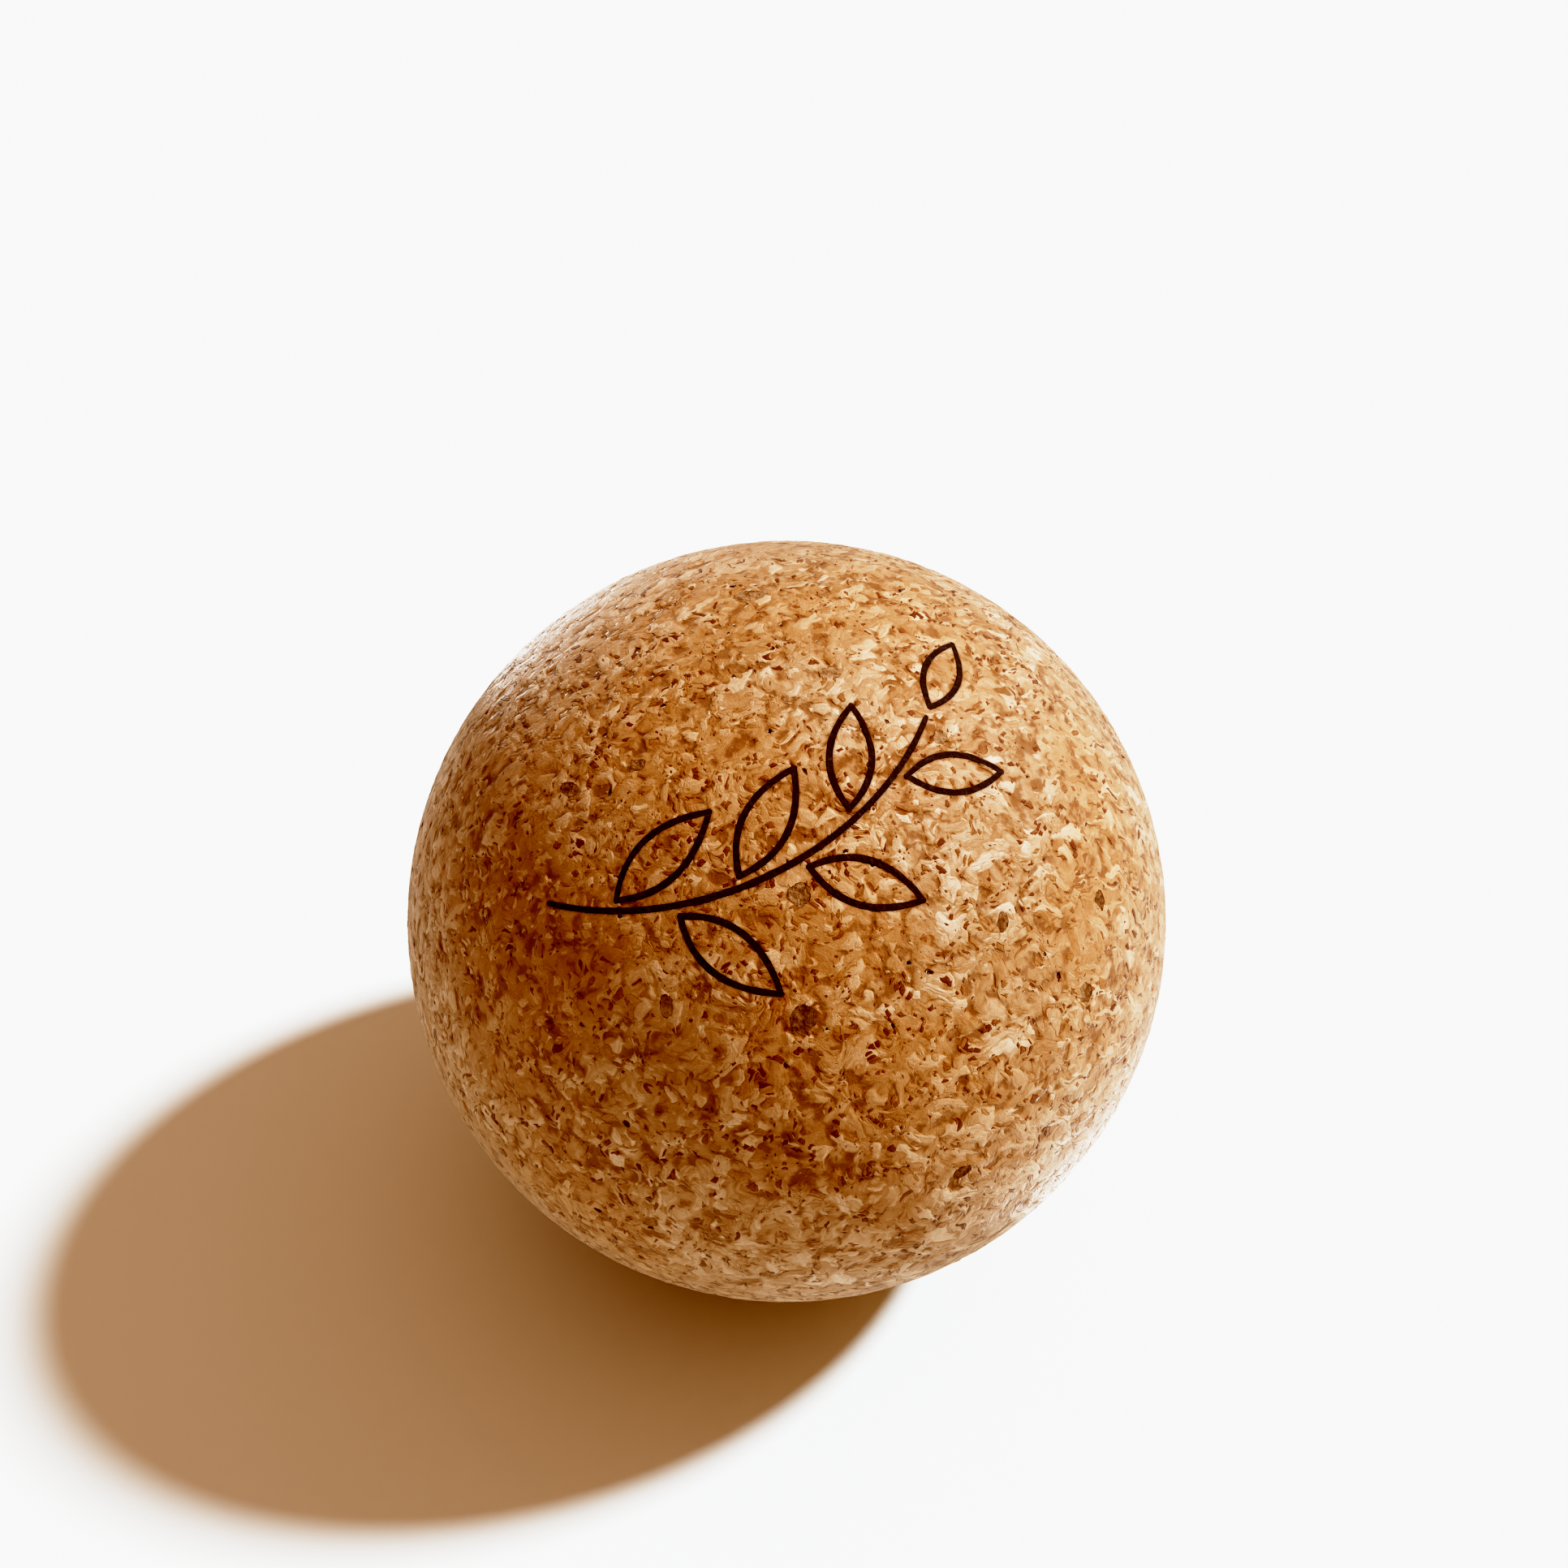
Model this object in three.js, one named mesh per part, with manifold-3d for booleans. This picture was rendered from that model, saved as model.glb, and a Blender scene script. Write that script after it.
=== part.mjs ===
// Cork massage ball: a ball of bonded cork granules, the larger bark granules that show in its
// skin, each in its own pocket, and a leaf-sprig mark of burned lines, each in its own groove.
// Millimetres and degrees, +Z up, the mark facing -Y. The origin is the point where the ball
// touches the surface that it stands on.

import * as THREE from "three";
import * as BufferGeometryUtils from "three/addons/utils/BufferGeometryUtils.js";
import Module from "manifold-3d";

const wasm = await Module();
wasm.setup();

// Ball
const BALL_DIAMETER = 65;
const BALL_RADIUS = BALL_DIAMETER / 2;
const BALL_DETAIL = 9; // an odd number puts a corner of the facets on each axis

// Seats: how far an inlaid piece ends under the skin, and the gap around it
const RECESS = 0.08;
const SEAT_GAP = 0.1;

// Mark: where its middle is, and the width of its lines
const MARK_AZIMUTH = -84;
const MARK_ELEVATION = 47;
const LINE_WIDTH = 0.44;
const LINE_SIDES = 6;
const LINE_STEP = 2.2;

// Mark, drawn flat around its middle as [across, up]: the stem's Bezier points
const STEM = [[-20, 0], [-9, -3.5], [3, 0.5], [9, 11.5]];
const LEAF_PAIRS = 3;
const FIRST_LEAF_AT = 0.14; // share of the stem
const LEAF_SPACING = 0.14; // share of the stem
const LEAF_LENGTH = 9;
const LEAF_SHRINK = 0.25; // each leaf is this much shorter than the one before
const LEAF_BULGE = 0.38; // sideways reach of an edge's control point, as a share of the length
const LEAF_BULGE_AT = 0.45; // place of that control point along the leaf
const LEAF_SPREAD = 45; // angle between a side leaf and the stem
const LEAF_GAP = 1.1; // from the stem's middle line to a leaf's foot

// Bark granules: [azimuth, elevation, length, width, turn], the turn from due east to the length
const GRANULES = [
  [175, 85, 2.5, 1.6, 95],
  [-88, 45, 1.7, 1.6, 0],
  [-48, 60, 1.2, 1.0, 30],
  [-138, 50, 1.8, 1.0, 20],
  [-88, 30, 2.2, 1.7, 60],
  [-70, 74, 1.8, 1.0, -10],
  [-55, 36, 1.4, 0.9, 70],
  [-107, 30, 1.6, 0.9, 100],
  [-108, -4, 1.4, 1.1, 40],
  [-67, 4, 1.5, 1.1, 15],
  [-35, 30, 1.5, 1.0, 80],
  [-44, 21, 1.6, 1.3, 110],
  [-127, 57, 1.4, 0.9, 45],
  [18, 22, 2.1, 1.4, 25],
  [62, 48, 1.6, 1.2, 130],
  [96, -12, 2.3, 1.5, 75],
  [137, 26, 1.8, 1.1, 10],
  [-168, 8, 1.6, 1.4, 55],
];
const GRANULE_DEPTH = 0.9;

const cork = new THREE.MeshStandardMaterial({ color: 0xc98f58, roughness: 0.85, metalness: 0 });
const bark = new THREE.MeshStandardMaterial({ color: 0x5b432c, roughness: 0.9, metalness: 0 });
const char = new THREE.MeshStandardMaterial({ color: 0x23100d, roughness: 0.8, metalness: 0 });

function toSolid(geometry) {
  const bare = geometry.clone();
  bare.deleteAttribute("normal");
  bare.deleteAttribute("uv");
  const merged = BufferGeometryUtils.mergeVertices(bare);
  const vertProperties = Float32Array.from(merged.attributes.position.array);
  const triVerts = Uint32Array.from(merged.index.array);
  return new wasm.Manifold(new wasm.Mesh({ numProp: 3, vertProperties, triVerts }));
}

function toMesh(name, solid, material) {
  const { vertProperties, triVerts } = solid.getMesh();
  const geometry = new THREE.BufferGeometry();
  geometry.setAttribute("position", new THREE.BufferAttribute(vertProperties, 3));
  geometry.setIndex(new THREE.BufferAttribute(triVerts, 1));
  geometry.computeVertexNormals();
  const mesh = new THREE.Mesh(geometry, material);
  mesh.name = name;
  return mesh;
}

// The directions away from the ball's middle, east and north at a place on its skin
function directionsAt(azimuth, elevation) {
  const turn = THREE.MathUtils.degToRad(azimuth);
  const rise = THREE.MathUtils.degToRad(elevation);
  const out = new THREE.Vector3(
    Math.cos(rise) * Math.cos(turn),
    Math.cos(rise) * Math.sin(turn),
    Math.sin(rise),
  );
  const east = new THREE.Vector3(-Math.sin(turn), Math.cos(turn), 0);
  const north = new THREE.Vector3().crossVectors(out, east);
  return { out, east, north };
}

// A flat curve of the mark, wrapped onto the ball with its distances from the middle kept
class WrappedCurve extends THREE.Curve {
  constructor(flat) {
    super();
    this.flat = flat;
    this.directions = directionsAt(MARK_AZIMUTH, MARK_ELEVATION);
  }

  getPoint(t, target = new THREE.Vector3()) {
    const { out, east, north } = this.directions;
    const place = this.flat.getPoint(t);
    const reach = place.length();
    const angle = reach / BALL_RADIUS;
    const sideways = Math.sin(angle) / reach;
    return target
      .copy(out)
      .multiplyScalar(Math.cos(angle))
      .addScaledVector(east, place.x * sideways)
      .addScaledVector(north, place.y * sideways)
      .multiplyScalar(BALL_RADIUS - RECESS);
  }
}

function circle(radius, sides) {
  const shape = new THREE.Shape();
  for (let i = 0; i < sides; i += 1) {
    const angle = (2 * Math.PI * i) / sides;
    const [x, y] = [radius * Math.cos(angle), radius * Math.sin(angle)];
    if (i === 0) shape.moveTo(x, y);
    else shape.lineTo(x, y);
  }
  shape.closePath();
  return shape;
}

function roundEnd(place, radius) {
  const end = new THREE.IcosahedronGeometry(radius, 1);
  end.translate(place.x, place.y, place.z);
  return toSolid(end);
}

// One round-ended bar along each flat curve, all joined
function bars(flatCurves, radius) {
  let solid = null;
  for (const flat of flatCurves) {
    const path = new WrappedCurve(flat);
    const steps = Math.ceil(flat.getLength() / LINE_STEP);
    const tube = new THREE.ExtrudeGeometry(circle(radius, LINE_SIDES), {
      steps,
      extrudePath: path,
      bevelEnabled: false,
    });
    const bar = toSolid(tube)
      .add(roundEnd(path.getPoint(0), radius))
      .add(roundEnd(path.getPoint(1), radius));
    solid = solid ? solid.add(bar) : bar;
  }
  return solid;
}

function stemCurve() {
  const points = STEM.map(([across, up]) => new THREE.Vector2(across, up));
  return new THREE.CubicBezierCurve(...points);
}

// A leaf's two edges, from its foot to its tip
function leafCurves(stem, at, turn, length) {
  const direction = stem.getTangent(at).rotateAround(new THREE.Vector2(), turn);
  const sideways = new THREE.Vector2(-direction.y, direction.x);
  const foot = stem.getPoint(at).addScaledVector(direction, LEAF_GAP);
  const tip = foot.clone().addScaledVector(direction, length);
  return [-1, 1].map((side) => {
    const bulge = foot
      .clone()
      .addScaledVector(direction, LEAF_BULGE_AT * length)
      .addScaledVector(sideways, side * LEAF_BULGE * length);
    return new THREE.QuadraticBezierCurve(foot, bulge, tip);
  });
}

// The mark's strokes: the stem, leaves on alternate sides of it, and a leaf at its end
function strokes() {
  const stem = stemCurve();
  const found = [{ name: "mark_stem", curves: [stem] }];
  const spread = THREE.MathUtils.degToRad(LEAF_SPREAD);
  const sideLeaves = 2 * LEAF_PAIRS;
  for (let i = 0; i <= sideLeaves; i += 1) {
    const last = i === sideLeaves;
    const at = last ? 1 : FIRST_LEAF_AT + i * LEAF_SPACING;
    const side = i % 2 === 0 ? 1 : -1;
    const turn = last ? 0 : side * spread;
    const length = LEAF_LENGTH - i * LEAF_SHRINK;
    found.push({ name: `mark_leaf_${i + 1}`, curves: leafCurves(stem, at, turn, length) });
  }
  return found;
}

// A flattened lump let into the skin, with a gap added all round where it stands for the pocket
function lump([azimuth, elevation, length, width, turn], gap) {
  const { out, east, north } = directionsAt(azimuth, elevation);
  const angle = THREE.MathUtils.degToRad(turn);
  const along = east.multiplyScalar(Math.cos(angle)).addScaledVector(north, Math.sin(angle));
  const across = new THREE.Vector3().crossVectors(out, along);
  const place = new THREE.Matrix4()
    .makeBasis(along, across, out)
    .setPosition(out.clone().multiplyScalar(BALL_RADIUS - RECESS));
  const lumpGeometry = new THREE.IcosahedronGeometry(1, 1);
  lumpGeometry.scale(length / 2 + gap, width / 2 + gap, GRANULE_DEPTH + gap);
  return toSolid(lumpGeometry.applyMatrix4(place));
}

function buildBall() {
  const ball = new THREE.Group();
  let body = toSolid(new THREE.IcosahedronGeometry(BALL_RADIUS, BALL_DETAIL));
  const underSkin = toSolid(new THREE.IcosahedronGeometry(BALL_RADIUS - RECESS, BALL_DETAIL));

  for (const { name, curves } of strokes()) {
    ball.add(toMesh(name, bars(curves, LINE_WIDTH / 2).intersect(underSkin), char));
    body = body.subtract(bars(curves, LINE_WIDTH / 2 + SEAT_GAP));
  }
  GRANULES.forEach((granule, i) => {
    const name = `bark_granule_${String(i + 1).padStart(2, "0")}`;
    ball.add(toMesh(name, lump(granule, 0).intersect(underSkin), bark));
    body = body.subtract(lump(granule, SEAT_GAP));
  });
  ball.add(toMesh("cork_ball", body, cork));
  ball.position.z = BALL_RADIUS;
  return ball;
}

export default buildBall();
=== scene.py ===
"""Looks of the cork massage ball, in Blender 4.5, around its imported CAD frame.

The ball's skin is a fine mesh with real pits, pockets and grooves. One recipe of nodes, in
cork_pattern(), gives the cork's chips: geometry nodes read it to shape the skin, and the cork
material reads it to colour the same chips. Sizes are in millimetres, and MM turns them into
Blender's metres.
"""

import math

import bmesh
import bpy
import numpy as np
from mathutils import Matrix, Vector, noise
from mathutils.kdtree import KDTree


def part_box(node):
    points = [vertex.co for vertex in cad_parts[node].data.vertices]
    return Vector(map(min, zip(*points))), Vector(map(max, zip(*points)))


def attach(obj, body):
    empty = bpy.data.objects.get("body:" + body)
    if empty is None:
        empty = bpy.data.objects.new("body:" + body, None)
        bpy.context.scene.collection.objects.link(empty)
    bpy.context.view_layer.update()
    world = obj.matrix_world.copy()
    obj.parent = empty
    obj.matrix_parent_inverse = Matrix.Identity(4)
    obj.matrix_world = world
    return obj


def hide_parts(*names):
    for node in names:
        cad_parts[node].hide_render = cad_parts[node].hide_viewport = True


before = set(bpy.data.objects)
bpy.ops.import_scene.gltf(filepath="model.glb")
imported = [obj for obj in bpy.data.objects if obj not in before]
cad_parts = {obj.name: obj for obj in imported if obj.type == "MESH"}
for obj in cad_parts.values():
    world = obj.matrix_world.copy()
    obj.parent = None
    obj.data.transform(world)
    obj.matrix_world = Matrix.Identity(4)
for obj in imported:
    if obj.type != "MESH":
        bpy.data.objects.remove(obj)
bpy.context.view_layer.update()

MM = 0.001

# The ball, from the frame
LOW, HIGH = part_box("cork_ball")
CENTRE = (LOW + HIGH) / 2
RADIUS_MM = (HIGH.z - LOW.z) / 2 / MM
GRANULE_NODES = sorted(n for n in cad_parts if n.startswith("bark_granule_"))

# Mark, as the CAD draws it: Bezier points on the flat around its middle, in millimetres
MARK_AZIMUTH = -84
MARK_ELEVATION = 47
STEM = ((-20, 0), (-9, -3.5), (3, 0.5), (9, 11.5))
SIDE_LEAVES = 6
FIRST_LEAF_AT = 0.14
LEAF_SPACING = 0.14
LEAF_LENGTH = 9
LEAF_SHRINK = 0.25
LEAF_BULGE = 0.38
LEAF_BULGE_AT = 0.45
LEAF_SPREAD = math.radians(45)
LEAF_GAP = 1.1
LINE_RADIUS = 0.22
LINE_STEP = 0.25
BAR_SIDES = 16
CAP_ANGLES = (75, 50, 25)  # rings of a bar's round end, in degrees from its side
TIP_SHARE = 0.75  # a bar's thickness towards its ends, as a share of its middle's
WAVER = 0.12  # how much that thickness wavers, as a share

# Seats: the gap around an inlaid piece, and how far its top lies under the skin
SEAT_GAP = 0.03
RECESS = 0.02
TOP_WAVER = 0.02  # how much a top rises and falls

# Bark granules: the depth of each, and how far its outline swells, broadly and finely, as shares
GRANULE_DEPTH = 0.9
SWELL = 0.26
FINE_SWELL = 0.10
LUMP_SUBDIVISIONS = 5

# Camera: from the ball's middle, in ball radii, and its tilt below the horizon
CAMERA_PLACE = (-0.007, -3.134, 2.895)
CAMERA_TILT = 38.0
CAMERA_LENS = 36.0
SENSOR = 36.0

# Cork: layers of long chips, the lowest first: how each is turned, its chips to a millimetre along
# and across, the share of places that hold a chip, and its darkest and palest tone. The last layer
# is of thin dark streaks.
CHIP_LAYERS = [
    ((0.3, 1.1, 0.4), (0.19, 0.60, 0.60), 0.75, (0.32, 0.68)),
    ((1.2, 0.2, 1.9), (0.21, 0.80, 0.80), 0.55, (0.28, 0.78)),
    ((2.2, 0.9, 0.1), (0.24, 1.10, 0.98), 0.50, (0.26, 0.83)),
    ((0.7, 2.4, 1.1), (0.38, 1.60, 1.60), 0.30, (0.22, 0.79)),
    ((1.9, 1.5, 2.6), (0.34, 2.50, 2.50), 0.17, (-0.12, 0.14)),
]
DRIFT = (0.34, 2.6)  # how the chips' lines bend, in broad sweeps: waves to a millimetre, reach
FLUTTER = (1.2, 0.30)  # and in small ones
PITS_PER_MM = 0.70
GAP_DEPTH = 0.05
PIT_DEPTH = 0.16
SPECKLE_RISE = 0.006
CALM_TONE = 0.44  # the tone that chips tend to where they stand out less
CORK_BUMP = 0.9  # share of the relief's true depth
CORK_TONES = [
    (0.00, (0.125, 0.036, 0.017)),
    (0.08, (0.200, 0.078, 0.031)),
    (0.26, (0.292, 0.150, 0.072)),
    (0.45, (0.368, 0.219, 0.128)),
    (0.65, (0.458, 0.308, 0.208)),
    (0.90, (0.570, 0.435, 0.330)),
]
GAP_COLOUR = (0.125, 0.040, 0.016)
PIT_COLOUR = (0.115, 0.038, 0.015)
BLUSH = (0.95, 0.82, 0.68)  # tint of the redder patches

# Burned lines and bark: colours from the darkest grain to the palest, and the scorching of the cork
# beside a line
CHAR_TONES = [(0.35, (0.030, 0.021, 0.026)), (0.55, (0.046, 0.032, 0.040)), (0.75, (0.082, 0.056, 0.060))]
BARK_TONES = [(0.25, (0.095, 0.042, 0.022)), (0.48, (0.205, 0.110, 0.064)), (0.72, (0.360, 0.225, 0.145))]
SCORCHED = (0.090, 0.030, 0.012)
SCORCH_SHARE = 0.5
SCORCH_REACH = 0.15

# Ball mesh: how fine the first even ball is, then the rounds that halve edges, each with the step in
# relief and the distance from a seat that call for it, in millimetres
BALL_SUBDIVISIONS = 7
REFINEMENTS = ((0.06, 1.0), (0.075, 0.5))
RIM_PLACES = 12  # places round each granule that count as a seat
SHARP_EDGE = math.radians(40)

# The camera's response: light in, and light shown
BRIGHTEST = 2.5
DARKEST = (0.022, 0.066, 0.110)
RESPONSE = [
    (0.0, 0.0), (0.02, 0.003), (0.05, 0.013), (0.1, 0.041), (0.2, 0.128), (0.3, 0.232), (0.45, 0.405),
    (0.6, 0.57), (0.8, 0.735), (1.0, 0.83), (1.3, 0.90), (1.8, 0.96), (2.5, 1.0),
]

# Light: where the key light comes from, its strength and colour, and the colour of the soft
# light that the room gives from the floor's edge (0) to straight above (1)
KEY_AZIMUTH = 13.6
KEY_ELEVATION = 47.5
KEY_STRENGTH = 6.85
KEY_COLOUR = (0.87, 1.00, 1.14)
KEY_WIDTH = math.radians(6)
ROOM_LIGHT = [
    (0.00, (0.245, 0.168, 0.140)),
    (0.50, (0.490, 0.350, 0.300)),
    (1.00, (0.900, 0.680, 0.570)),
]
BACKDROP = (0.80, 0.78, 0.75)
FLOOR_COLOUR = (0.80, 0.80, 0.75)
FLOOR_REACH = 3.0  # metres


class Graph:
    """Short names for making nodes, in a material or a geometry tree alike."""

    def __init__(self, tree):
        self.tree = tree

    def node(self, kind, **settings):
        made = self.tree.nodes.new(kind)
        for name, value in settings.items():
            setattr(made, name, value)
        return made

    def feed(self, socket, value):
        if isinstance(value, bpy.types.NodeSocket):
            self.tree.links.new(value, socket)
        else:
            socket.default_value = value

    def math(self, operation, a, b=0.0):
        made = self.node("ShaderNodeMath", operation=operation)
        self.feed(made.inputs[0], a)
        self.feed(made.inputs[1], b)
        return made.outputs[0]

    def vector(self, operation, a, b=(0.0, 0.0, 0.0)):
        made = self.node("ShaderNodeVectorMath", operation=operation)
        self.feed(made.inputs[0], a)
        self.feed(made.inputs[1], b)
        return made.outputs[0]

    def scale(self, a, factor):
        made = self.node("ShaderNodeVectorMath", operation="SCALE")
        self.feed(made.inputs[0], a)
        self.feed(made.inputs["Scale"], factor)
        return made.outputs[0]

    def split(self, a):
        made = self.node("ShaderNodeSeparateXYZ")
        self.feed(made.inputs[0], a)
        return made.outputs

    def turn(self, a, angles):
        made = self.node("ShaderNodeVectorRotate", rotation_type="EULER_XYZ")
        self.feed(made.inputs["Vector"], a)
        self.feed(made.inputs["Rotation"], angles)
        return made.outputs[0]

    def noise(self, a, scale, detail=2.0, roughness=0.5):
        made = self.node("ShaderNodeTexNoise", noise_dimensions="3D")
        self.feed(made.inputs["Vector"], a)
        self.feed(made.inputs["Scale"], scale)
        self.feed(made.inputs["Detail"], detail)
        self.feed(made.inputs["Roughness"], roughness)
        return made.outputs

    def cells(self, a, scale, distance="EUCLIDEAN"):
        made = self.node("ShaderNodeTexVoronoi", voronoi_dimensions="3D", distance=distance)
        self.feed(made.inputs["Vector"], a)
        self.feed(made.inputs["Scale"], scale)
        return made.outputs

    def fade(self, value, low, high, to_low=0.0, to_high=1.0, smooth=True):
        kind = "SMOOTHSTEP" if smooth else "LINEAR"
        made = self.node("ShaderNodeMapRange", interpolation_type=kind)
        for socket, number in zip(made.inputs[:5], (value, low, high, to_low, to_high)):
            self.feed(socket, number)
        return made.outputs[0]

    def ramp(self, value, stops):
        made = self.node("ShaderNodeValToRGB")
        elements = made.color_ramp.elements
        while len(elements) < len(stops):
            elements.new(0.5)
        for element, (place, colour) in zip(elements, stops):
            element.position = place
            element.color = (*colour, 1.0)
        self.feed(made.inputs[0], value)
        return made.outputs[0]

    def mix_value(self, factor, a, b):
        made = self.node("ShaderNodeMix", data_type="FLOAT")
        for socket, value in zip(made.inputs[:1] + made.inputs[2:4], (factor, a, b)):
            self.feed(socket, value)
        return made.outputs[0]

    def mix(self, factor, a, b, blend="MIX"):
        made = self.node("ShaderNodeMix", data_type="RGBA", blend_type=blend)
        self.feed(made.inputs["Factor"], factor)
        self.feed(made.inputs[6], (*a, 1.0) if isinstance(a, tuple) else a)
        self.feed(made.inputs[7], (*b, 1.0) if isinstance(b, tuple) else b)
        return made.outputs[2]


def on_skin(g, position):
    """A place in millimetres on the true sphere, so that pits don't shift their own pattern."""
    outward = g.vector("NORMALIZE", g.vector("SUBTRACT", position, tuple(CENTRE)))
    return g.scale(outward, RADIUS_MM)


def chip_layer(g, flow, turn, per_mm, share):
    """One layer of pointed chips: where they cover, their rims (which get painted shade and a brown
    outline), dome, tone and fibres.
    """
    stretched = g.vector("MULTIPLY", g.turn(flow, turn), per_mm)
    cell = g.cells(stretched, 1.0, "MANHATTAN")
    seed = g.split(cell["Color"])
    reach = g.fade(seed[0], 1.0 - share, 1.0, 0.50, 1.00, smooth=False)
    margin = g.math("SUBTRACT", reach, cell["Distance"])
    held = g.math("GREATER_THAN", seed[0], 1.0 - share)
    cover = g.math("MULTIPLY", g.fade(margin, -0.06, 0.12), held)
    rim = g.math("MULTIPLY", cover, g.fade(margin, 0.02, 0.20, 1.0, 0.0))
    fibre_place = g.vector("MULTIPLY", stretched, (0.8, 5.0, 5.0))
    fibre = g.noise(g.vector("ADD", fibre_place, cell["Color"]), 1.0, 1.0)[0]
    return {"cover": cover, "rim": rim, "tone": seed[1], "dome": g.fade(margin, 0.0, 0.5), "fibre": fibre}


def bend(g, place):
    """The place that the chips are drawn at, so that their lines bend."""
    half = (0.5, 0.5, 0.5)
    drift = g.scale(g.vector("SUBTRACT", g.noise(place, DRIFT[0])["Color"], half), DRIFT[1])
    flutter = g.scale(g.vector("SUBTRACT", g.noise(place, FLUTTER[0], 1.0)["Color"], half), FLUTTER[1])
    return g.vector("ADD", place, g.vector("ADD", drift, flutter))


def pits(g, flow):
    """Where the small pits are: 1 inside one, and 0 outside."""
    cell = g.cells(flow, PITS_PER_MM)
    seed = g.split(cell["Color"])
    size = g.fade(seed[0], 0.80, 1.0, 0.02, 0.20, smooth=False)
    return g.fade(g.math("SUBTRACT", cell["Distance"], size), -0.07, 0.0, 1.0, 0.0)


def cork_pattern(g, place):
    """The chips at a place in millimetres: tone and height, and the dark gaps and pits, 0 to 1."""
    flow = bend(g, place)
    bed = g.noise(flow, 1.1, 4.0, 0.6)[0]
    tone = g.fade(bed, 0.30, 0.70, 0.24, 0.56, smooth=False)
    height = g.fade(bed, 0.30, 0.70, -0.05, -0.01, smooth=False)
    patchy = g.noise(place, 0.8, 2.0)[0]
    # How much darker each chip's rim is painted, varying at random: painted shade along the chip's lowered
    # edge, and the brown outline between chips
    rim_shade_and_outline = g.fade(patchy, 0.40, 0.58, 0.05, 0.38)
    bare = None
    for turn, per_mm, share, (dark, pale) in CHIP_LAYERS:
        layer = chip_layer(g, flow, turn, per_mm, share)
        chip_tone = g.fade(layer["tone"], 0.0, 1.0, dark, pale, smooth=False)
        streak = g.fade(layer["fibre"], 0.3, 0.7, -0.11, 0.11, smooth=False)
        chip_tone = g.math("ADD", chip_tone, streak)
        # The chip's rim painted darker: painted shade at its lowered edge, together with the brown outline
        # between chips
        chip_tone = g.math("SUBTRACT", chip_tone, g.math("MULTIPLY", layer["rim"], rim_shade_and_outline))
        tone = g.mix_value(layer["cover"], tone, chip_tone)
        chip_height = g.fade(layer["dome"], 0.0, 1.0, -0.024, 0.012, smooth=False)
        chip_height = g.math("ADD", chip_height, g.math("MULTIPLY", streak, 0.05))
        height = g.mix_value(layer["cover"], height, chip_height)
        open_here = g.math("SUBTRACT", 1.0, layer["cover"])
        bare = open_here if bare is None else g.math("MULTIPLY", bare, open_here)
    return {
        "tone": tone,
        "height": height,
        "gap": g.math("MULTIPLY", bare, g.fade(patchy, 0.46, 0.62)),
        "pit": pits(g, flow),
        "speckle": g.noise(place, 9.0, 2.0)[0],
        "patchy": patchy,
        "calm": g.fade(g.noise(place, 0.16, 1.0)[0], 0.40, 0.65, 0.0, 0.35),
        "blush": g.fade(g.noise(place, 0.075, 1.0)[0], 0.38, 0.62),
    }


def relief(g, pattern):
    """How far the skin stands out, in millimetres: about nothing on a chip, less in a pit."""
    parts = [
        pattern["height"],
        g.math("MULTIPLY", pattern["gap"], -GAP_DEPTH),
        g.fade(pattern["speckle"], 0.3, 0.7, -SPECKLE_RISE, SPECKLE_RISE, smooth=False),
        g.math("MULTIPLY", pattern["pit"], -PIT_DEPTH),
    ]
    total = parts[0]
    for part in parts[1:]:
        total = g.math("ADD", total, part)
    return total


def cork_colour(g, pattern):
    tone = g.math("ADD", pattern["tone"], g.fade(pattern["speckle"], 0.3, 0.7, -0.04, 0.04, smooth=False))
    tone = g.math("ADD", tone, g.fade(pattern["patchy"], 0.3, 0.7, 0.06, -0.06, smooth=False))
    tone = g.mix_value(pattern["calm"], tone, CALM_TONE)
    colour = g.ramp(tone, CORK_TONES)
    colour = g.mix(g.math("MULTIPLY", pattern["gap"], 0.50), colour, GAP_COLOUR)
    colour = g.mix(pattern["pit"], colour, PIT_COLOUR)
    blushed = g.mix(1.0, colour, BLUSH, "MULTIPLY")
    return g.mix(g.math("MULTIPLY", pattern["blush"], 0.6), colour, blushed)


def new_material(name, specular):
    """A material's node graph and its shader."""
    material = bpy.data.materials.new(name)
    material.use_nodes = True
    g = Graph(material.node_tree)
    shader = g.tree.nodes["Principled BSDF"]
    shader.inputs["Specular IOR Level"].default_value = specular
    return material, g, shader


def add_bump(g, shader, height_mm, share=1.0):
    """Bump from a height in millimetres, with a share of its true depth."""
    bump = g.node("ShaderNodeBump")
    bump.inputs["Distance"].default_value = share * MM
    g.feed(bump.inputs["Height"], height_mm)
    g.feed(shader.inputs["Normal"], bump.outputs[0])


def cork_material():
    material, g, shader = new_material("cork_agglomerate", 0.35)
    position = g.node("ShaderNodeTexCoord").outputs["Object"]
    pattern = cork_pattern(g, on_skin(g, position))
    scorch = g.node("ShaderNodeAttribute", attribute_name="scorch").outputs["Fac"]
    colour = g.mix(g.math("MULTIPLY", scorch, SCORCH_SHARE), cork_colour(g, pattern), SCORCHED)
    g.feed(shader.inputs["Base Color"], colour)
    rough = g.fade(pattern["tone"], 0.1, 0.9, 0.68, 0.52)
    g.feed(shader.inputs["Roughness"], g.math("ADD", rough, g.math("MULTIPLY", pattern["gap"], 0.2)))
    shader.inputs["Sheen Weight"].default_value = 0.65
    shader.inputs["Sheen Roughness"].default_value = 0.35
    shader.inputs["Sheen Tint"].default_value = (1.0, 0.94, 0.85, 1)
    add_bump(g, shader, relief(g, pattern), CORK_BUMP)
    return material


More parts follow.
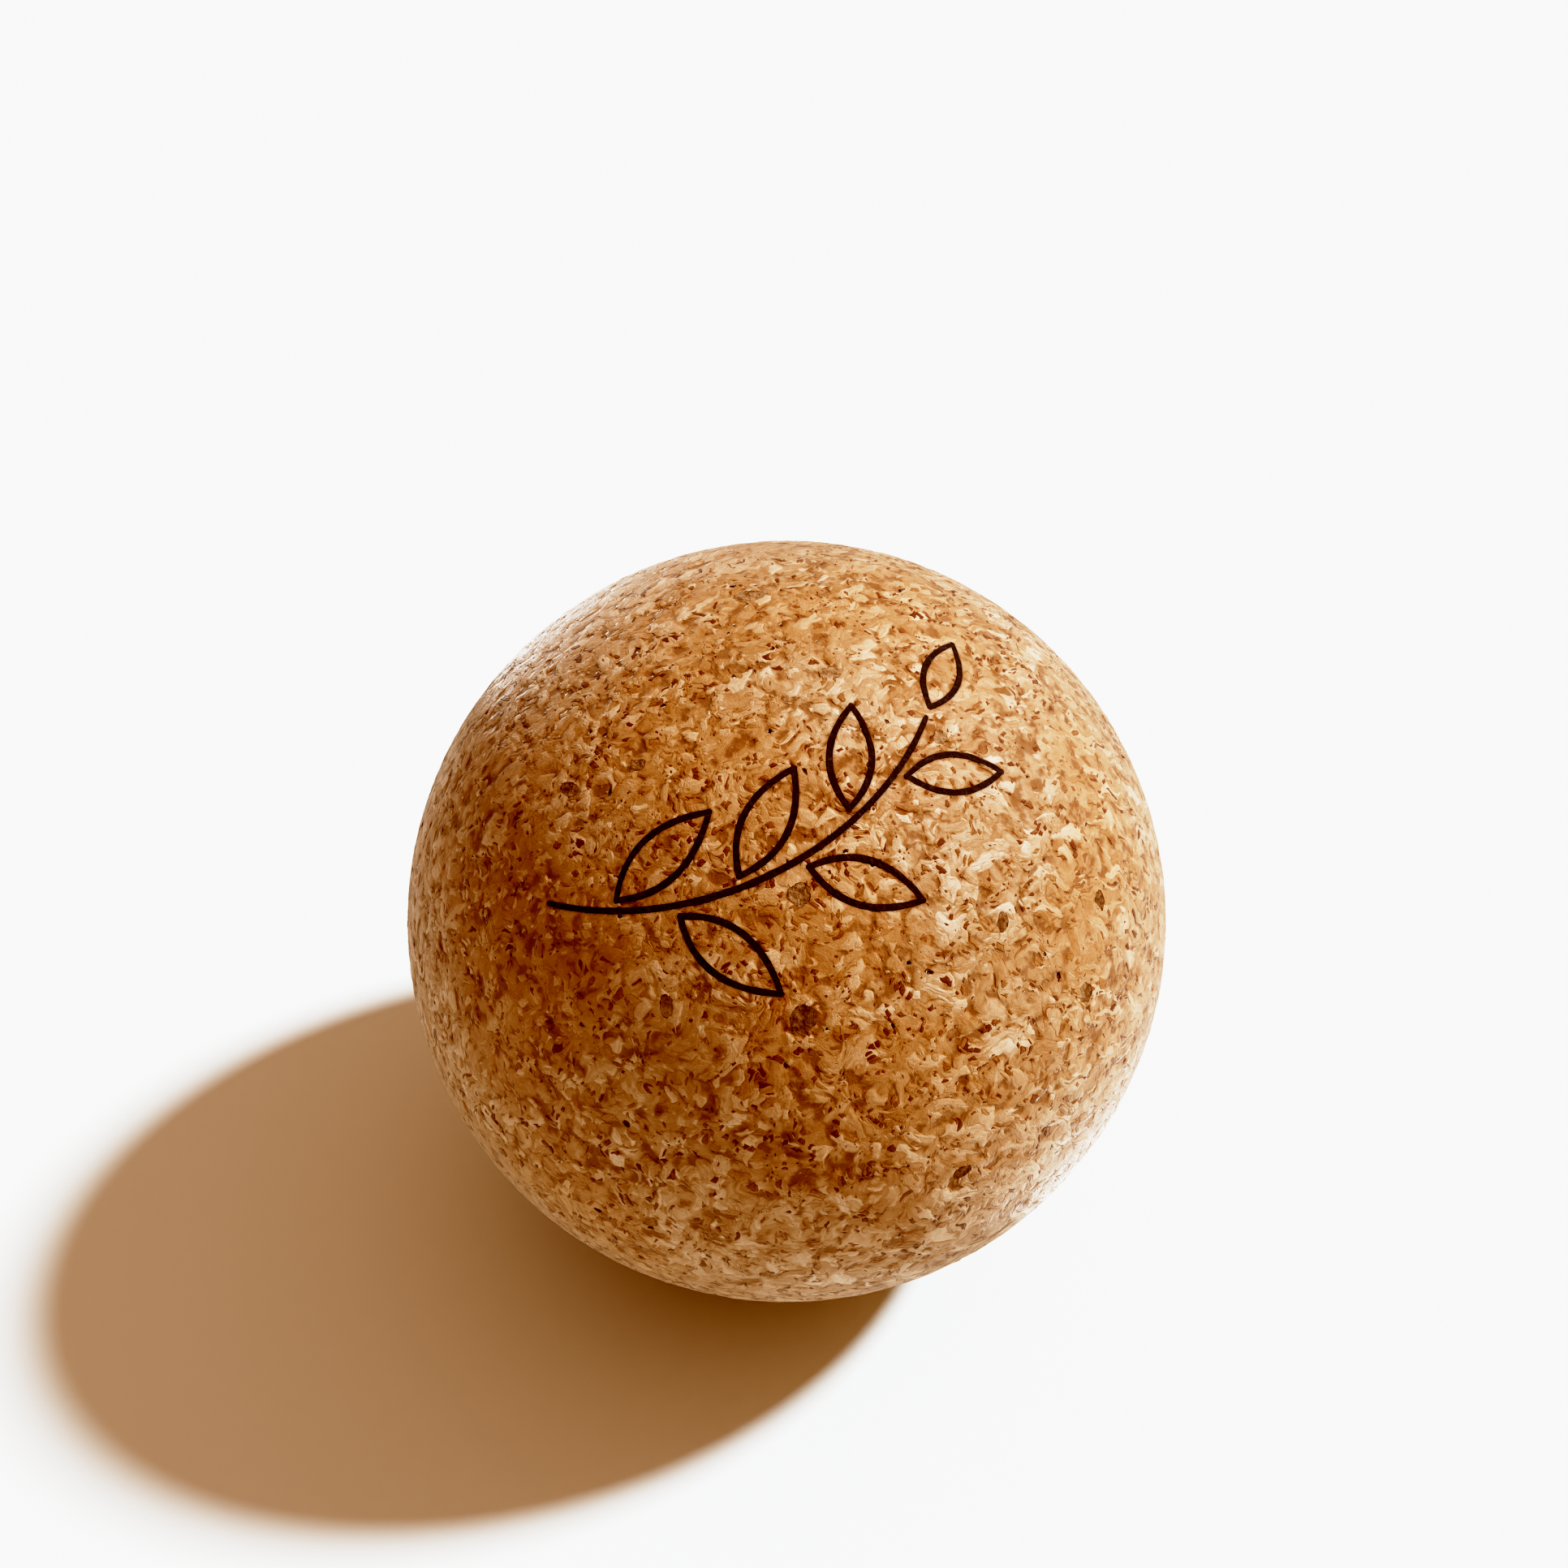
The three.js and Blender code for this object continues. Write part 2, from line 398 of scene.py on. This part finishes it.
def relief_tree():
    """Geometry nodes that store the relief at each vertex."""
    tree = bpy.data.node_groups.new("cork_relief", "GeometryNodeTree")
    tree.interface.new_socket("Geometry", in_out="INPUT", socket_type="NodeSocketGeometry")
    tree.interface.new_socket("Geometry", in_out="OUTPUT", socket_type="NodeSocketGeometry")
    g = Graph(tree)
    start = g.node("NodeGroupInput")
    end = g.node("NodeGroupOutput")
    position = g.node("GeometryNodeInputPosition").outputs[0]
    store = g.node("GeometryNodeStoreNamedAttribute", data_type="FLOAT", domain="POINT")
    store.inputs["Name"].default_value = "relief"
    g.feed(store.inputs["Geometry"], start.outputs[0])
    g.feed(store.inputs["Value"], relief(g, cork_pattern(g, on_skin(g, position))))
    g.feed(end.inputs[0], store.outputs[0])
    return tree


def measured_relief(piece):
    """The relief in millimetres at each vertex of a piece that has the relief tree on it."""
    shaped = piece.evaluated_get(bpy.context.evaluated_depsgraph_get())
    values = np.zeros(len(shaped.data.vertices))
    shaped.data.attributes["relief"].data.foreach_get("value", values)
    return values


def direction(azimuth, elevation):
    azimuth, elevation = math.radians(azimuth), math.radians(elevation)
    flat = math.cos(elevation)
    return Vector((flat * math.cos(azimuth), flat * math.sin(azimuth), math.sin(elevation)))


def bezier(points, t):
    level = [np.array(point, dtype=float) for point in points]
    while len(level) > 1:
        level = [a + (b - a) * t for a, b in zip(level, level[1:])]
    return level[0]


def wrapped(flat):
    """A flat point of the mark, wrapped onto the ball with its distance from the middle kept."""
    out = np.array(direction(MARK_AZIMUTH, MARK_ELEVATION))
    east = np.array(direction(MARK_AZIMUTH + 90, 0))
    north = np.cross(out, east)
    reach = np.linalg.norm(flat)
    angle = reach / RADIUS_MM
    sideways = (east * flat[0] + north * flat[1]) * math.sin(angle) / max(reach, 1e-9)
    return (out * math.cos(angle) + sideways) * RADIUS_MM


def line_on_ball(points):
    """Even samples of a flat Bezier curve, wrapped onto the ball."""
    reach = sum(np.linalg.norm(np.subtract(b, a)) for a, b in zip(points, points[1:]))
    count = math.ceil(reach / LINE_STEP)
    return np.array([wrapped(bezier(points, i / count)) for i in range(count + 1)])


def leaf_edges(at, turn, length):
    """The flat Bezier points of a leaf's two edges, from its foot to its tip."""
    along = bezier(np.diff(STEM, axis=0), at)
    along /= np.linalg.norm(along)
    cos, sin = math.cos(turn), math.sin(turn)
    along = np.array([cos * along[0] - sin * along[1], sin * along[0] + cos * along[1]])
    sideways = np.array([-along[1], along[0]])
    foot = bezier(STEM, at) + along * LEAF_GAP
    edges = []
    for side in (-1, 1):
        bulge = foot + along * LEAF_BULGE_AT * length + sideways * side * LEAF_BULGE * length
        edges.append((foot, bulge, foot + along * length))
    return edges


def mark_lines():
    """The lines of each mark node, as places on the ball in millimetres from its middle."""
    lines = {"mark_stem": [line_on_ball(STEM)]}
    for i in range(SIDE_LEAVES + 1):
        last = i == SIDE_LEAVES
        at = 1.0 if last else FIRST_LEAF_AT + i * LEAF_SPACING
        turn = 0.0 if last else LEAF_SPREAD * (1 if i % 2 == 0 else -1)
        edges = leaf_edges(at, turn, LEAF_LENGTH - i * LEAF_SHRINK)
        lines[f"mark_leaf_{i + 1}"] = [line_on_ball(edge) for edge in edges]
    return lines


def add_piece(name, mesh):
    piece = bpy.data.objects.new(name, mesh)
    bpy.context.scene.collection.objects.link(piece)
    return piece


def mesh_piece(name, bm):
    mesh = bpy.data.meshes.new(name)
    bm.to_mesh(mesh)
    bm.free()
    return add_piece(name, mesh)


def bar_middles(line, radius):
    """The middle and the share of full thickness of each ring of a round-ended bar, and its tips."""
    start, end = line[0], line[-1]
    ahead = (line[1] - start) / np.linalg.norm(line[1] - start)
    behind = (line[-2] - end) / np.linalg.norm(line[-2] - end)
    cap = [math.radians(angle) for angle in CAP_ANGLES]
    middles = [(start - ahead * radius * math.sin(a), math.cos(a)) for a in cap]
    middles += [(place, 1.0) for place in line]
    middles += [(end - behind * radius * math.sin(a), math.cos(a)) for a in reversed(cap)]
    return middles, (start - ahead * radius, end - behind * radius)


def bar_ring(bm, middles, i, radius):
    """One ring of a bar, its thickness wavering a little from one to the next."""
    place, share = middles[i]
    before = middles[max(i - 1, 0)][0]
    after = middles[min(i + 1, len(middles) - 1)][0]
    out = Vector(place).normalized()
    side = out.cross(Vector(after - before)).normalized()
    taper = TIP_SHARE + (1 - TIP_SHARE) * math.sqrt(math.sin(math.pi * (i + 0.5) / len(middles)))
    waver = taper + WAVER * noise.noise(Vector(place) * 1.3)
    ring = []
    for j in range(BAR_SIDES):
        angle = math.tau * j / BAR_SIDES
        spoke = side * math.cos(angle) + out * math.sin(angle)
        ring.append(bm.verts.new((Vector(place) + spoke * (radius * share * waver)) * MM + CENTRE))
    return ring


def bar(name, line, radius):
    """A round-ended bar along a line on the ball."""
    middles, tips = bar_middles(line, radius)
    bm = bmesh.new()
    rings = [bar_ring(bm, middles, i, radius) for i in range(len(middles))]
    for ring, following in zip(rings, rings[1:]):
        for j in range(BAR_SIDES):
            k = (j + 1) % BAR_SIDES
            bm.faces.new((ring[j], ring[k], following[k], following[j]))
    for ring, tip in zip((rings[0], rings[-1]), tips):
        point = bm.verts.new(Vector(tip) * MM + CENTRE)
        for j in range(BAR_SIDES):
            bm.faces.new((ring[j], ring[(j + 1) % BAR_SIDES], point))
    bmesh.ops.recalc_face_normals(bm, faces=bm.faces)
    return mesh_piece(name, bm)


def combine(piece, tool, operation):
    """Joins or cuts two closed pieces, and removes the second."""
    modifier = piece.modifiers.new("combine", "BOOLEAN")
    modifier.operation = operation
    modifier.solver = "MANIFOLD"
    modifier.object = tool
    shaped = piece.evaluated_get(bpy.context.evaluated_depsgraph_get())
    mesh = bpy.data.meshes.new_from_object(shaped)
    piece.modifiers.remove(modifier)
    piece.data = mesh
    bpy.data.objects.remove(tool)
    return piece


def stroke(name, lines, radius):
    whole = bar(name, lines[0], radius)
    for line in lines[1:]:
        combine(whole, bar(name + "_edge", line, radius), "UNION")
    return whole


def lay_under_skin(piece, recess):
    """Presses the part of a piece that stands out down to its place under the skin."""
    for vertex in piece.data.vertices:
        out = vertex.co - CENTRE
        rough = TOP_WAVER * noise.noise(vertex.co / MM * 2.5)
        most = (RADIUS_MM - recess + rough) * MM
        if out.length > most:
            vertex.co = CENTRE + out.normalized() * most


def granule_axes(node):
    """A bark granule's middle, the directions along, across and out of it, and its half sizes."""
    corners = np.array([corner.co for corner in bpy.data.objects[node].data.vertices]) / MM
    corners -= np.array(CENTRE) / MM
    out = corners.mean(axis=0)
    out /= np.linalg.norm(out)
    flat = corners - np.outer(corners @ out, out)
    flat -= flat.mean(axis=0)
    along = np.linalg.eigh(flat.T @ flat)[1][:, -1]
    across = np.cross(out, along)
    halves = [np.ptp(corners @ axis) / 2 for axis in (along, across)]
    return out * (RADIUS_MM - RECESS), (along, across, out), (*halves, GRANULE_DEPTH)


def lump(name, node, gap):
    """An irregular lump in a bark granule's place, with a gap added for its pocket."""
    middle, axes, halves = granule_axes(node)
    bm = bmesh.new()
    bmesh.ops.create_icosphere(bm, subdivisions=LUMP_SUBDIVISIONS, radius=1)
    shift = Vector(middle) * 3.0
    for vertex in bm.verts:
        bulge = 1 + SWELL * noise.noise(vertex.co * 1.5 + shift)
        bulge += FINE_SWELL * noise.noise(vertex.co * 4 + shift)
        spot = middle.copy()
        for axis, share, half in zip(axes, vertex.co, halves):
            spot += axis * share * (half * bulge + gap)
        vertex.co = Vector(spot) * MM + CENTRE
    return mesh_piece(name, bm)


def ball_skin():
    bm = bmesh.new()
    bmesh.ops.create_icosphere(bm, subdivisions=BALL_SUBDIVISIONS, radius=RADIUS_MM * MM)
    bmesh.ops.translate(bm, verts=bm.verts, vec=CENTRE)
    mesh = bpy.data.meshes.new("cork_body")
    bm.to_mesh(mesh)
    piece = add_piece("cork_body", mesh)
    modifier = piece.modifiers.new("relief", "NODES")
    modifier.node_group = relief_tree()
    return piece, bm, modifier


def split_edges(bm, chosen):
    """Halves the chosen edges, keeps the mesh in triangles and its vertices on the sphere."""
    bmesh.ops.subdivide_edges(bm, edges=chosen, cuts=1, use_grid_fill=True)
    many_sided = [f for f in bm.faces if len(f.verts) > 3]
    bmesh.ops.triangulate(bm, faces=many_sided)
    for vertex in bm.verts:
        outward = (vertex.co - CENTRE).normalized()
        vertex.co = CENTRE + outward * RADIUS_MM * MM


def mark_places(lines):
    return [place for node_lines in lines.values() for line in node_lines for place in line]


def granule_rims():
    """Places round the rim of each bark granule."""
    rims = []
    for node in GRANULE_NODES:
        middle, (along, across, _), halves = granule_axes(node)
        for angle in np.linspace(0, math.tau, RIM_PLACES, endpoint=False):
            rims.append(middle + along * math.cos(angle) * halves[0] + across * math.sin(angle) * halves[1])
    return rims


def search_tree(places):
    tree = KDTree(len(places))
    for i, place in enumerate(places):
        tree.insert(place, i)
    tree.balance()
    return tree


def distance_mm(tree, spot):
    return tree.find((spot - CENTRE) / MM)[2]


def refine(piece, bm, seats):
    """Halves the edges that cross steep relief or come near a seat."""
    for step, near in REFINEMENTS:
        bm.to_mesh(piece.data)
        heights = measured_relief(piece)
        bm.verts.ensure_lookup_table()
        chosen = []
        for edge in bm.edges:
            first, second = edge.verts
            uneven = abs(heights[first.index] - heights[second.index]) > step
            if uneven or distance_mm(seats, (first.co + second.co) / 2) < near:
                chosen.append(edge)
        split_edges(bm, chosen)
        bm.verts.index_update()
    bm.to_mesh(piece.data)


def raise_relief(piece, modifier):
    """Moves each vertex out or in by the relief there."""
    heights = measured_relief(piece)
    piece.modifiers.remove(modifier)
    places = np.zeros(len(piece.data.vertices) * 3)
    piece.data.vertices.foreach_get("co", places)
    outward = places.reshape(-1, 3) - np.array(CENTRE)
    outward /= np.linalg.norm(outward, axis=1)[:, None]
    places = np.array(CENTRE) + outward * (RADIUS_MM + heights[:, None]) * MM
    piece.data.vertices.foreach_set("co", places.ravel())
    piece.data.update()


def cut_seats(piece, lines):
    for node_lines in lines.values():
        combine(piece, stroke("groove", node_lines, LINE_RADIUS + SEAT_GAP), "DIFFERENCE")
    for node in GRANULE_NODES:
        combine(piece, lump("pocket", node, SEAT_GAP), "DIFFERENCE")


def mark_scorch(piece, tree):
    """Stores how scorched each vertex is: fully in a groove, and fading beside it."""
    values = [distance_mm(tree, vertex.co) for vertex in piece.data.vertices]
    fade = (LINE_RADIUS, LINE_RADIUS + SCORCH_REACH)
    scorch = piece.data.attributes.new("scorch", "FLOAT", "POINT")
    scorch.data.foreach_set("value", np.interp(values, fade, (1.0, 0.0)))


def build_ball(lines):
    piece, bm, modifier = ball_skin()
    refine(piece, bm, search_tree(mark_places(lines) + granule_rims()))
    raise_relief(piece, modifier)
    bm.free()
    cut_seats(piece, lines)
    mark_scorch(piece, search_tree(mark_places(lines)))
    finish_piece(piece, "cork_ball", cork_material())
    piece.data.set_sharp_from_angle(angle=SHARP_EDGE)


def grained_material(name, specular, grain, stops, roughness, rise):
    """A matt grained material: its grain's scale, detail and drift, colours, roughness and rise."""
    material, g, shader = new_material(name, specular)
    place = g.scale(g.node("ShaderNodeTexCoord").outputs["Object"], 1 / MM)
    scale, detail, drift = grain
    fine = g.noise(place, scale, detail, 0.6)[0]
    broad = g.fade(g.noise(place, 0.11, 0.0)[0], 0.40, 0.60, -drift, drift)
    g.feed(shader.inputs["Base Color"], g.ramp(g.math("ADD", fine, broad), stops))
    g.feed(shader.inputs["Roughness"], g.fade(fine, 0.3, 0.7, *roughness))
    add_bump(g, shader, g.fade(fine, 0.3, 0.7, -rise, rise, smooth=False))
    return material


def char_material():
    return grained_material("burned_cork", 0.12, (3.0, 3.0, 0.0), CHAR_TONES, (0.65, 0.90), 0.03)


def bark_material():
    return grained_material("raw_bark", 0.25, (2.2, 4.0, 0.11), BARK_TONES, (0.75, 0.95), 0.05)


def finish_piece(piece, node, material):
    piece.data.materials.clear()
    piece.data.materials.append(material)
    piece.data.shade_smooth()
    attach(piece, "root")
    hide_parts(node)


def build_mark(lines):
    material = char_material()
    for node, node_lines in lines.items():
        piece = stroke("burned_" + node.removeprefix("mark_"), node_lines, LINE_RADIUS)
        lay_under_skin(piece, RECESS)
        finish_piece(piece, node, material)


def build_granules():
    material = bark_material()
    for node in GRANULE_NODES:
        piece = lump("raw_" + node, node, 0.0)
        lay_under_skin(piece, RECESS)
        finish_piece(piece, node, material)


def make_camera():
    data = bpy.data.cameras.new("camera")
    data.lens = CAMERA_LENS
    data.sensor_width = SENSOR
    data.clip_start = 0.001
    camera = bpy.data.objects.new("camera", data)
    bpy.context.scene.collection.objects.link(camera)
    camera.location = CENTRE + Vector(CAMERA_PLACE) * RADIUS_MM * MM
    camera.rotation_euler = (math.radians(90 - CAMERA_TILT), 0, 0)
    bpy.context.scene.camera = camera


def make_floor():
    bm = bmesh.new()
    bmesh.ops.create_grid(bm, x_segments=4, y_segments=4, size=FLOOR_REACH)
    mesh = bpy.data.meshes.new("floor")
    bm.to_mesh(mesh)
    bm.free()
    floor = add_piece("floor", mesh)
    material = bpy.data.materials.new("pale_floor")
    material.use_nodes = True
    shader = material.node_tree.nodes["Principled BSDF"]
    shader.inputs["Base Color"].default_value = (*FLOOR_COLOUR, 1)
    shader.inputs["Roughness"].default_value = 0.9
    shader.inputs["Specular IOR Level"].default_value = 0.1
    mesh.materials.append(material)


def make_key():
    data = bpy.data.lights.new("key", "SUN")
    data.energy = KEY_STRENGTH
    data.angle = KEY_WIDTH
    data.color = KEY_COLOUR
    key = bpy.data.objects.new("key", data)
    bpy.context.scene.collection.objects.link(key)
    key.rotation_euler = direction(KEY_AZIMUTH, KEY_ELEVATION).to_track_quat("Z", "Y").to_euler()


def make_room():
    """Soft light from all round, warmer and weaker near the floor, and a pale plain backdrop."""
    world = bpy.data.worlds.new("room")
    bpy.context.scene.world = world
    world.use_nodes = True
    g = Graph(world.node_tree)
    height = g.split(g.node("ShaderNodeTexCoord").outputs["Generated"])[2]
    fill = g.ramp(height, ROOM_LIGHT)
    seen = g.node("ShaderNodeLightPath").outputs["Is Camera Ray"]
    background = g.tree.nodes["Background"]
    g.feed(background.inputs["Color"], g.mix(seen, fill, BACKDROP))
    background.inputs["Strength"].default_value = 1.0


def set_response():
    """A camera's response: a soft shoulder for bright light, and deeper darks."""
    view = bpy.context.scene.view_settings
    view.view_transform = "Standard"
    view.use_curve_mapping = True
    view.curve_mapping.white_level = (BRIGHTEST, BRIGHTEST, BRIGHTEST)
    view.curve_mapping.black_level = DARKEST
    curve = view.curve_mapping.curves[3]
    while len(curve.points) < len(RESPONSE):
        curve.points.new(0.5, 0.5)
    for point, (light, shown) in zip(curve.points, RESPONSE):
        point.location = (light / BRIGHTEST, shown)
    view.curve_mapping.update()


set_response()
make_camera()
lines = mark_lines()
build_ball(lines)
build_mark(lines)
build_granules()
make_floor()
make_key()
make_room()
